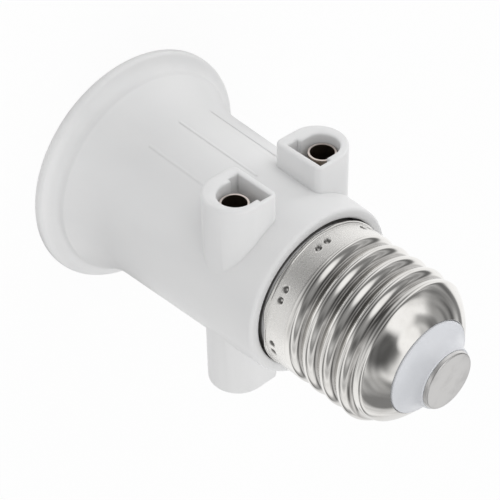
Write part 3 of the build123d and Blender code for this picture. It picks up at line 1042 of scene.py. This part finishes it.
@dataclass
class Body:
    """White housing with its outlet tubes."""

    mouth_wall: float = 1.4 * MM
    flare_end: Point = (16.45 * MM, 12.5 * MM)
    collar_radius: float = 15.2 * MM
    collar_height: float = 47.0 * MM
    collar_rounding: float = 0.7 * MM
    gap_radius: float = 13.34 * MM
    gap_depth: float = 2.5 * MM
    bore_radius: float = 14.3 * MM
    bore_depth: float = 11 * MM
    chamber_radius: float = 12.9 * MM
    chamber: Point = (31.0 * MM, 42.6 * MM)
    neck_foot: Point = (12.65 * MM, 51.8 * MM)
    neck_radius: float = 11.75 * MM
    neck_bore: float = 9.9 * MM
    stake_height: float = 49.6 * MM
    stake_depth: float = 0.7 * MM
    outlet_height: float = 37.5 * MM
    tower_height: float = 36.8 * MM
    tower_face: float = 19.7 * MM
    well_floor: float = 13.7 * MM
    pin_x: float = 9.5 * MM
    pin_bore: float = 2.4 * MM
    rib_places: Sequence[float] = (-6.9 * MM, 0.25 * MM, 6.9 * MM)
    rib_rise: float = 0.05 * MM
    rib_width: float = 0.36 * MM
    screw_place: float = 10.0 * MM
    post_radius: float = 3.0 * MM
    post_bore: float = 1.45 * MM
    columns: int = 360
    low: Vector = field(default_factory=lambda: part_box("housing")[0])
    high: Vector = field(default_factory=lambda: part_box("housing")[1])

    def outside(self) -> bpy.types.Object:
        """Turn the outside from the rolled lip over the flare to the neck.

        Returns:
            The closed outside.
        """
        lip, top, foot = self.high.x - 0.01 * MM, self.collar_height, self.neck_foot
        form = Profile(0.0, 0.0).line(lip - 0.3 * MM, 0.0, 12).arc(lip, 0.35 * MM, -0.08 * MM, 6)
        form.line(lip, 0.75 * MM).arc(lip - 0.8 * MM, 1.6 * MM, -0.22 * MM, 8)
        form.arc(lip - 2.3 * MM, 2.5 * MM, 0.12 * MM, 8).arc(lip - 2.95 * MM, 4.0 * MM, 0.2 * MM, 8)
        form.arc(*self.flare_end, 0.53 * MM, 26).line(self.collar_radius, top - self.collar_rounding, 40)
        form.arc(self.collar_radius - self.collar_rounding, top, -0.2 * MM, 8).line(13.75 * MM, top, 2)
        form.arc(self.gap_radius, top - 0.3 * MM, -0.09 * MM, 4).line(self.gap_radius, top - self.gap_depth)
        form.line(foot[0], top - self.gap_depth).line(foot[0], self.stake_height - 1.15 * MM)
        form.line(foot[0] - self.stake_depth, self.stake_height - 0.8 * MM)
        form.line(foot[0] - self.stake_depth, self.stake_height + 0.8 * MM)
        form.line(foot[0], self.stake_height + 1.15 * MM).line(*foot)
        form.line(self.neck_radius, foot[1]).line(self.neck_radius, self.high.z).line(0.0, self.high.z)
        return turned("moulded_housing", form, self.columns)

    def inside(self) -> bpy.types.Object:
        """Turn the space inside: mouth flare, socket bore, wiring chamber and neck bore.

        Returns:
            The closed space, which reaches out at both ends.
        """
        mouth, below, above = self.high.x - self.mouth_wall, -OVERLAP, self.high.z + OVERLAP
        low, high = self.chamber
        space = Profile(0.0, below).line(mouth, below).line(mouth, 0.0)
        space.arc(self.bore_radius, self.bore_depth, 0.85 * MM, 20).line(self.bore_radius, low)
        space.line(self.chamber_radius, low).line(self.chamber_radius, high).line(self.neck_bore, high)
        space.line(self.neck_bore, above).line(0.0, above)
        return turned("space", space, self.columns)

    def towers(self) -> bpy.types.Object:
        """Loft the D-shaped towers as two bars through the body, softly rounded at their ends.

        Returns:
            Both bars.
        """
        half, corner, near, middle = 5.15 * MM, 1.2 * MM, 4.3 * MM, 9.0 * MM
        z = self.tower_height
        outline = (rounded_run((near + corner, z + corner - half), corner, 180, 270, 8)
                   + rounded_run((middle, z), half, -90, 90, 48)
                   + rounded_run((near + corner, z + half - corner), corner, 90, 180, 8))
        ends = [(0.0, -0.5), (0.04, -0.3), (0.13, -0.14), (0.3, -0.03), (0.5, 0.0)]
        front = [(drop * MM - self.tower_face, wide * MM) for drop, wide in ends]
        return stacked("towers", outline, front + [(-y, wide) for y, wide in front[::-1]], (1, -1))

    def wells(self, side: int) -> bpy.types.Object:
        """Loft the openings of one side: slot and round well in one, with a softened mouth.

        Args:
            side: -1 for the front, 1 for the rear.

        Returns:
            Both openings of that side.
        """
        near, far, half, middle, size = 5.4 * MM, 7.5 * MM, 3.75 * MM, 9.2 * MM, 3.05 * MM
        z = self.outlet_height
        outline = ([(near, z - half), (far, z - half), (far, z - size)]
                   + rounded_run((middle, z), size, -90, 90, 40)
                   + [(far, z + size), (far, z + half), (near, z + half)])
        mouth = [(-1.0, 0.3), (0.0, 0.3), (0.07, 0.14), (0.18, 0.04), (0.35, 0.0)]
        stations = [(side * (self.tower_face - drop * MM), wide * MM) for drop, wide in mouth]
        return stacked("wells", outline, stations + [(side * self.well_floor, 0.0)], (1, -1))

    def ribs(self) -> bpy.types.Object:
        """Fine raised mould lines along the body.

        Returns:
            The lines, sunk into the body.
        """
        low, high = self.flare_end[1] + 1 * MM, self.tower_height - 4.15 * MM
        skin = Profile(0.0, low)
        for z in (low, high):
            share = (z - self.flare_end[1]) / (self.collar_height - self.collar_rounding - self.flare_end[1])
            radius = self.flare_end[0] + share * (self.collar_radius - self.flare_end[0]) + self.rib_rise
            skin.line(radius, z, 8)
        lines = turned("ribs", skin.line(0.0, high), self.columns)
        shape = bmesh.new()
        for x in self.rib_places:
            made = bmesh.ops.create_cube(shape, size=1.0)["verts"]
            bmesh.ops.scale(shape, vec=(self.rib_width, 44 * MM, high - low - 0.2 * MM), verts=made)
            bmesh.ops.translate(shape, vec=(x, 0.0, (low + high) / 2), verts=made)
        return combined(lines, Join.SHARE, formed("bars", shape))

    def bosses(self) -> bpy.types.Object:
        """Turn the two hollow posts for the socket screws.

        Returns:
            Both posts.
        """
        posts, roof = [], self.chamber[1] + OVERLAP
        for side, low in ((-1, self.chamber[0]), (1, self.chamber[0] + 0.6 * MM)):
            tube = Profile(self.post_bore, low).line(self.post_radius, low).line(self.post_radius, roof)
            post = turned("post", tube.line(self.post_bore, roof), 32)
            post.data.transform(Matrix.Translation((0.0, side * self.screw_place, 0.0)))
            posts.append(post)
        return combined(posts[0], Join.ADD, posts[1])

    def housing(self) -> bpy.types.Object:
        """Make the moulding from its turned forms, towers, wells and posts.

        Returns:
            The moulding.
        """
        piece = combined(self.outside(), Join.ADD, self.towers())
        combined(piece, Join.ADD, self.ribs())
        combined(piece, Join.CUT, self.inside())
        for side in (-1, 1):
            combined(piece, Join.CUT, self.wells(side))
        bore = rounded_run((self.pin_x, self.outlet_height), self.pin_bore, 0, 352.5, 47)
        reach = self.well_floor + OVERLAP
        combined(piece, Join.CUT, stacked("bores", bore, [(-reach, 0.0), (reach, 0.0)], (1, -1)))
        combined(piece, Join.ADD, self.bosses())
        smooth(piece)
        dress(piece, WHITE_MOULDING.material())
        return settle(piece, "white_moulding", "housing")

    def build(self) -> None:
        """Make the moulding and dress the four tubes."""
        self.housing()
        tube = replace(DARK_TUBE, highlit_bare_end=-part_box("live_front_sleeve")[0].y).material()
        for pole in ("live", "neutral"):
            for side in ("front", "rear"):
                keep(f"{pole}_{side}_sleeve", tube)


@dataclass
class LampSocket:
    """Inner thread, floor and contacts that a lamp screws into."""

    pitch: float = 3.629 * MM
    sheet: float = 0.35 * MM
    rib_depth: float = 0.93 * MM
    flange_bore: float = 6.4 * MM
    columns: int = 288

    def shell(self, nickel: bpy.types.Material) -> bpy.types.Object:
        """Roll the inner thread into a turned tube with its flange.

        Args:
            nickel: Finish of the shell.

        Returns:
            The shell.
        """
        low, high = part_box("lamp_socket_shell")
        outer = high.x - 0.01 * MM
        inner, flange = outer - self.sheet, high.z - 0.4 * MM
        tube = Profile(inner, low.z + 0.1 * MM).arc(outer, low.z + 0.1 * MM, -0.1 * MM, 4)
        tube.line(outer, high.z - 0.5 * MM, 60).arc(outer - 0.5 * MM, high.z, -0.15 * MM, 5)
        tube.line(self.flange_bore, high.z, 6).line(self.flange_bore, flange)
        tube.line(inner - 0.4 * MM, flange, 6)
        tube.arc(inner, flange - 0.4 * MM, 0.1 * MM, 4).line(inner, low.z + 0.3 * MM, 90)
        piece = turned("rolled_socket_shell", tube, self.columns)
        grown(piece, rolled_shell_group(nickel), {
            "Pitch": self.pitch, "Groove Height": low.z + 2.93 * MM, "Groove Depth": self.rib_depth,
            "First Turn": -1.6, "Last Turn": 4.3, "Run Out Turns": 0.3, "Groove Narrowing": 1.0,
        })
        smooth(piece)
        return settle(piece, "nickel_plate", "lamp_socket_shell")

    def build(self, nickel: bpy.types.Material) -> None:
        """Make the shell and dress what it holds.

        Args:
            nickel: Finish of the shell.
        """
        self.shell(nickel)
        keep("socket_base", WHITE_FLOOR.material())
        brass = SPRING_BRASS.material()
        keep("lamp_centre_tongue", brass)
        keep("tongue_rivet", brass)
        keep("socket_screws", ZINC_STEEL.material())


@dataclass
class Wiring:
    """Busbars, leads and solder inside the housing."""

    strip: float = 3.0 * MM

    def build(self) -> None:
        """Dress the hidden conductors."""
        brass, solder = SPRING_BRASS.material(), SOFT_SOLDER.material()
        for pole, colour in (("live", (0.30, 0.15, 0.08)), ("neutral", (0.08, 0.20, 0.50))):
            keep(f"{pole}_busbar", brass)
            low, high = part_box(f"{pole}_lead")
            sheath = WireSheath(f"{pole}_sheath", colour, TINNED_COPPER,
                                low.z + self.strip, high.z - self.strip)
            keep(f"{pole}_lead", sheath.material())
            keep(f"{pole}_tab_solder", solder)
        keep("contact_solder", solder)


@dataclass(frozen=True)
class Panel:
    """A soft panel around the object, light or dark, as polished metal shows it."""

    azimuth: float
    elevation: float
    inner: float
    outer: float
    level: float

    def over(self, tree: Tree, below: Item, x: Value, y: Value, z: Value) -> Value:
        """Lay the panel over what is behind it.

        Args:
            tree: Tree to add the nodes to.
            below: Brightness behind the panel.
            x: First part of the unit direction.
            y: Second part of the unit direction.
            z: Its upward part.

        Returns:
            Brightness with the panel.
        """
        a, e = math.radians(self.azimuth), math.radians(self.elevation)
        aim = x * (math.cos(a) * math.cos(e)) + y * (math.sin(a) * math.cos(e)) + z * math.sin(e)
        share = aim.ramp(math.cos(math.radians(self.outer)), math.cos(math.radians(self.inner)))
        return share * self.level + (1.0 - share) * below


@dataclass(frozen=True)
class Softbox:
    """Square soft lamp that faces the object, with its place and size in metres."""

    name: str
    place: tuple[float, float, float]
    size: float
    power: float


LAMPS = (
    Softbox("key_softbox", (-0.15, -0.75, 0.30), 0.45, 1.0),
    Softbox("top_softbox", (0.10, 0.15, 0.80), 0.50, 2.2),
    Softbox("side_softbox", (-0.75, -0.35, 0.10), 0.35, 1.5),
)
DARK_PANELS = (
    Panel(-62, -60, 14, 46, 0.30), Panel(-62, 0, 12, 42, 0.30), Panel(-25, 55, 12, 34, 0.10),
    Panel(-48, 25, 10, 28, 0.22), Panel(-175, 30, 14, 32, 0.25),
)
BRIGHT_PANELS = (
    Panel(-95, 48, 10, 24, 1.10), Panel(-110, 76, 10, 18, 1.10), Panel(-20, -52, 10, 20, 1.15),
    Panel(105, -12, 12, 22, 0.85), Panel(128, 34, 8, 24, 0.84),
)


@dataclass
class Studio:
    """Pale floor, soft lights and the camera of the photograph."""

    viewpoint: Vector = field(default_factory=lambda: Vector((137.67, -174.44, 183.93)) * MM)
    aim: Vector = field(default_factory=lambda: Vector((0.72, 0.56, 31.10)) * MM)
    roll: float = 124.88
    lens: float = 116.2
    floor_half: float = 3.0
    middle: float = 40 * MM
    ambient: float = 0.64
    glow: float = 0.92
    brightest: float = 1.6
    room_level: float = 0.66
    streak_size: float = 0.3
    streak_spread: float = 0.16
    streak_low: float = 0.36
    streak_gain: float = 1.25
    steady_height: float = -0.56
    steady_gain: float = 1.4

    def facing(self, spot: Vector) -> Matrix:
        """Place of a lamp or camera at a spot that looks at the object."""
        turn = (self.aim - spot).normalized().to_track_quat("-Z", "Y").to_matrix().to_4x4()
        return Matrix.Translation(spot) @ turn

    def camera(self) -> None:
        """Place the camera where the photograph was taken."""
        data = bpy.data.cameras.new("photo_camera")
        data.lens, data.sensor_width = self.lens, 36.0
        data.clip_start, data.clip_end = 0.01, 20.0
        camera = bpy.data.objects.new("photo_camera", data)
        camera.matrix_world = self.facing(self.viewpoint) @ Matrix.Rotation(math.radians(self.roll), 4, "Z")
        bpy.context.scene.collection.objects.link(camera)
        bpy.context.scene.camera = camera

    def seen(self, tree: Tree) -> tuple[Value, Value]:
        """Tell apart the rays that show the background.

        Args:
            tree: Tree to add the nodes to.

        Returns:
            1 for rays from the camera or through glass, and 1 for mirrored ones.
        """
        path = tree.node("ShaderNodeLightPath")
        shown = Value(tree, path.outputs["Is Camera Ray"]).larger(path.outputs["Is Transmission Ray"])
        return shown, Value(tree, path.outputs["Is Glossy Ray"])

    def surroundings(self, tree: Tree, way: bpy.types.NodeSocket) -> Value:
        """How bright the room is in a direction, as polished metal mirrors it.

        Args:
            tree: Tree to add the nodes to.
            way: The direction.

        Returns:
            Brightness, where 1 is white.
        """
        unit = tree.node("ShaderNodeVectorMath", {0: way}, operation="NORMALIZE").outputs[0]
        x, y, z = tree.axes(unit)
        level: Item = self.room_level
        for panel in DARK_PANELS:
            level = panel.over(tree, level, x, y, z)
        stretched = tree.vector(x * self.streak_spread, y * self.streak_spread, z)
        streak = tree.noise(stretched, self.streak_size, 2.0, 0.5).ramp(0.36, 0.62)
        steady = 1.0 - abs(z - self.steady_height).ramp(0.06, 0.2)
        level = level * ((1.0 - steady) * (streak * self.streak_gain + self.streak_low)
                         + steady * self.steady_gain)
        for panel in BRIGHT_PANELS:
            level = panel.over(tree, level, x, y, z)
        return level

    def light(self, tree: Tree, level: Value) -> bpy.types.NodeSocket:
        """Neutral colour that glows at a level, for a source of strength 1."""
        return tree.mixed(level / self.brightest, BLACK, (self.brightest,) * 3)

    def floor(self) -> None:
        """Lay a pale floor that shows white but still takes the soft shadow."""
        mesh = bmesh.new()
        bmesh.ops.create_grid(mesh, x_segments=1, y_segments=1, size=self.floor_half)
        piece = formed("studio_floor", mesh)
        paint = Paint("studio_floor")
        matte = paint.node("ShaderNodeBsdfDiffuse", {"Color": FLOOR_WHITE})
        away = paint.node("ShaderNodeVectorMath", {0: paint.place, 1: (0.0, 0.0, self.middle)},
                          operation="SUBTRACT").outputs[0]
        shown, mirrored = self.seen(paint)
        level = self.surroundings(paint, away) * mirrored + (1.0 - mirrored)
        glow = paint.node("ShaderNodeEmission", {"Color": self.light(paint, level), "Strength": 1.0})
        both = paint.node("ShaderNodeMixShader", {0: shown * self.glow + mirrored, 1: matte.outputs[0],
                                                  2: glow.outputs[0]})
        paint.node("ShaderNodeOutputMaterial", {"Surface": both.outputs[0]})
        dress(piece, paint.material)

    def lamp(self, box: Softbox) -> None:
        """Hang one soft lamp, hidden from mirrored rays.

        Args:
            box: The lamp.
        """
        data = bpy.data.lights.new(box.name, "AREA")
        data.shape, data.size, data.energy = "SQUARE", box.size, box.power
        lamp = bpy.data.objects.new(box.name, data)
        lamp.matrix_world = self.facing(Vector(box.place))
        lamp.visible_glossy = False
        bpy.context.scene.collection.objects.link(lamp)

    def world(self) -> None:
        """Light the object evenly from a pale room."""
        world = bpy.data.worlds.new("studio")
        world.use_nodes = True
        bpy.context.scene.world = world
        tree = Tree(world.node_tree)
        world.node_tree.nodes.clear()
        shown, mirrored = self.seen(tree)
        way = tree.node("ShaderNodeTexCoord").outputs["Generated"]
        level = self.surroundings(tree, way) * mirrored + shown + (1.0 - mirrored - shown) * self.ambient
        sky = tree.node("ShaderNodeBackground", {"Color": self.light(tree, level), "Strength": 1.0})
        tree.node("ShaderNodeOutputWorld", {"Surface": sky.outputs[0]})

    def build(self) -> None:
        """Set up floor, lamps, world and camera."""
        bpy.context.scene.view_settings.view_transform = "Standard"
        self.floor()
        for box in LAMPS:
            self.lamp(box)
        self.world()
        self.camera()


def main() -> None:
    """Build every sub-assembly in order."""
    logging.basicConfig(level=logging.INFO, format="%(name)s: %(message)s")
    nickel = BRIGHT_NICKEL.material()
    Studio().build()
    ScrewCap().build(nickel)
    Body().build()
    LampSocket().build(nickel)
    Wiring().build()


if __name__ == "__main__":
    main()
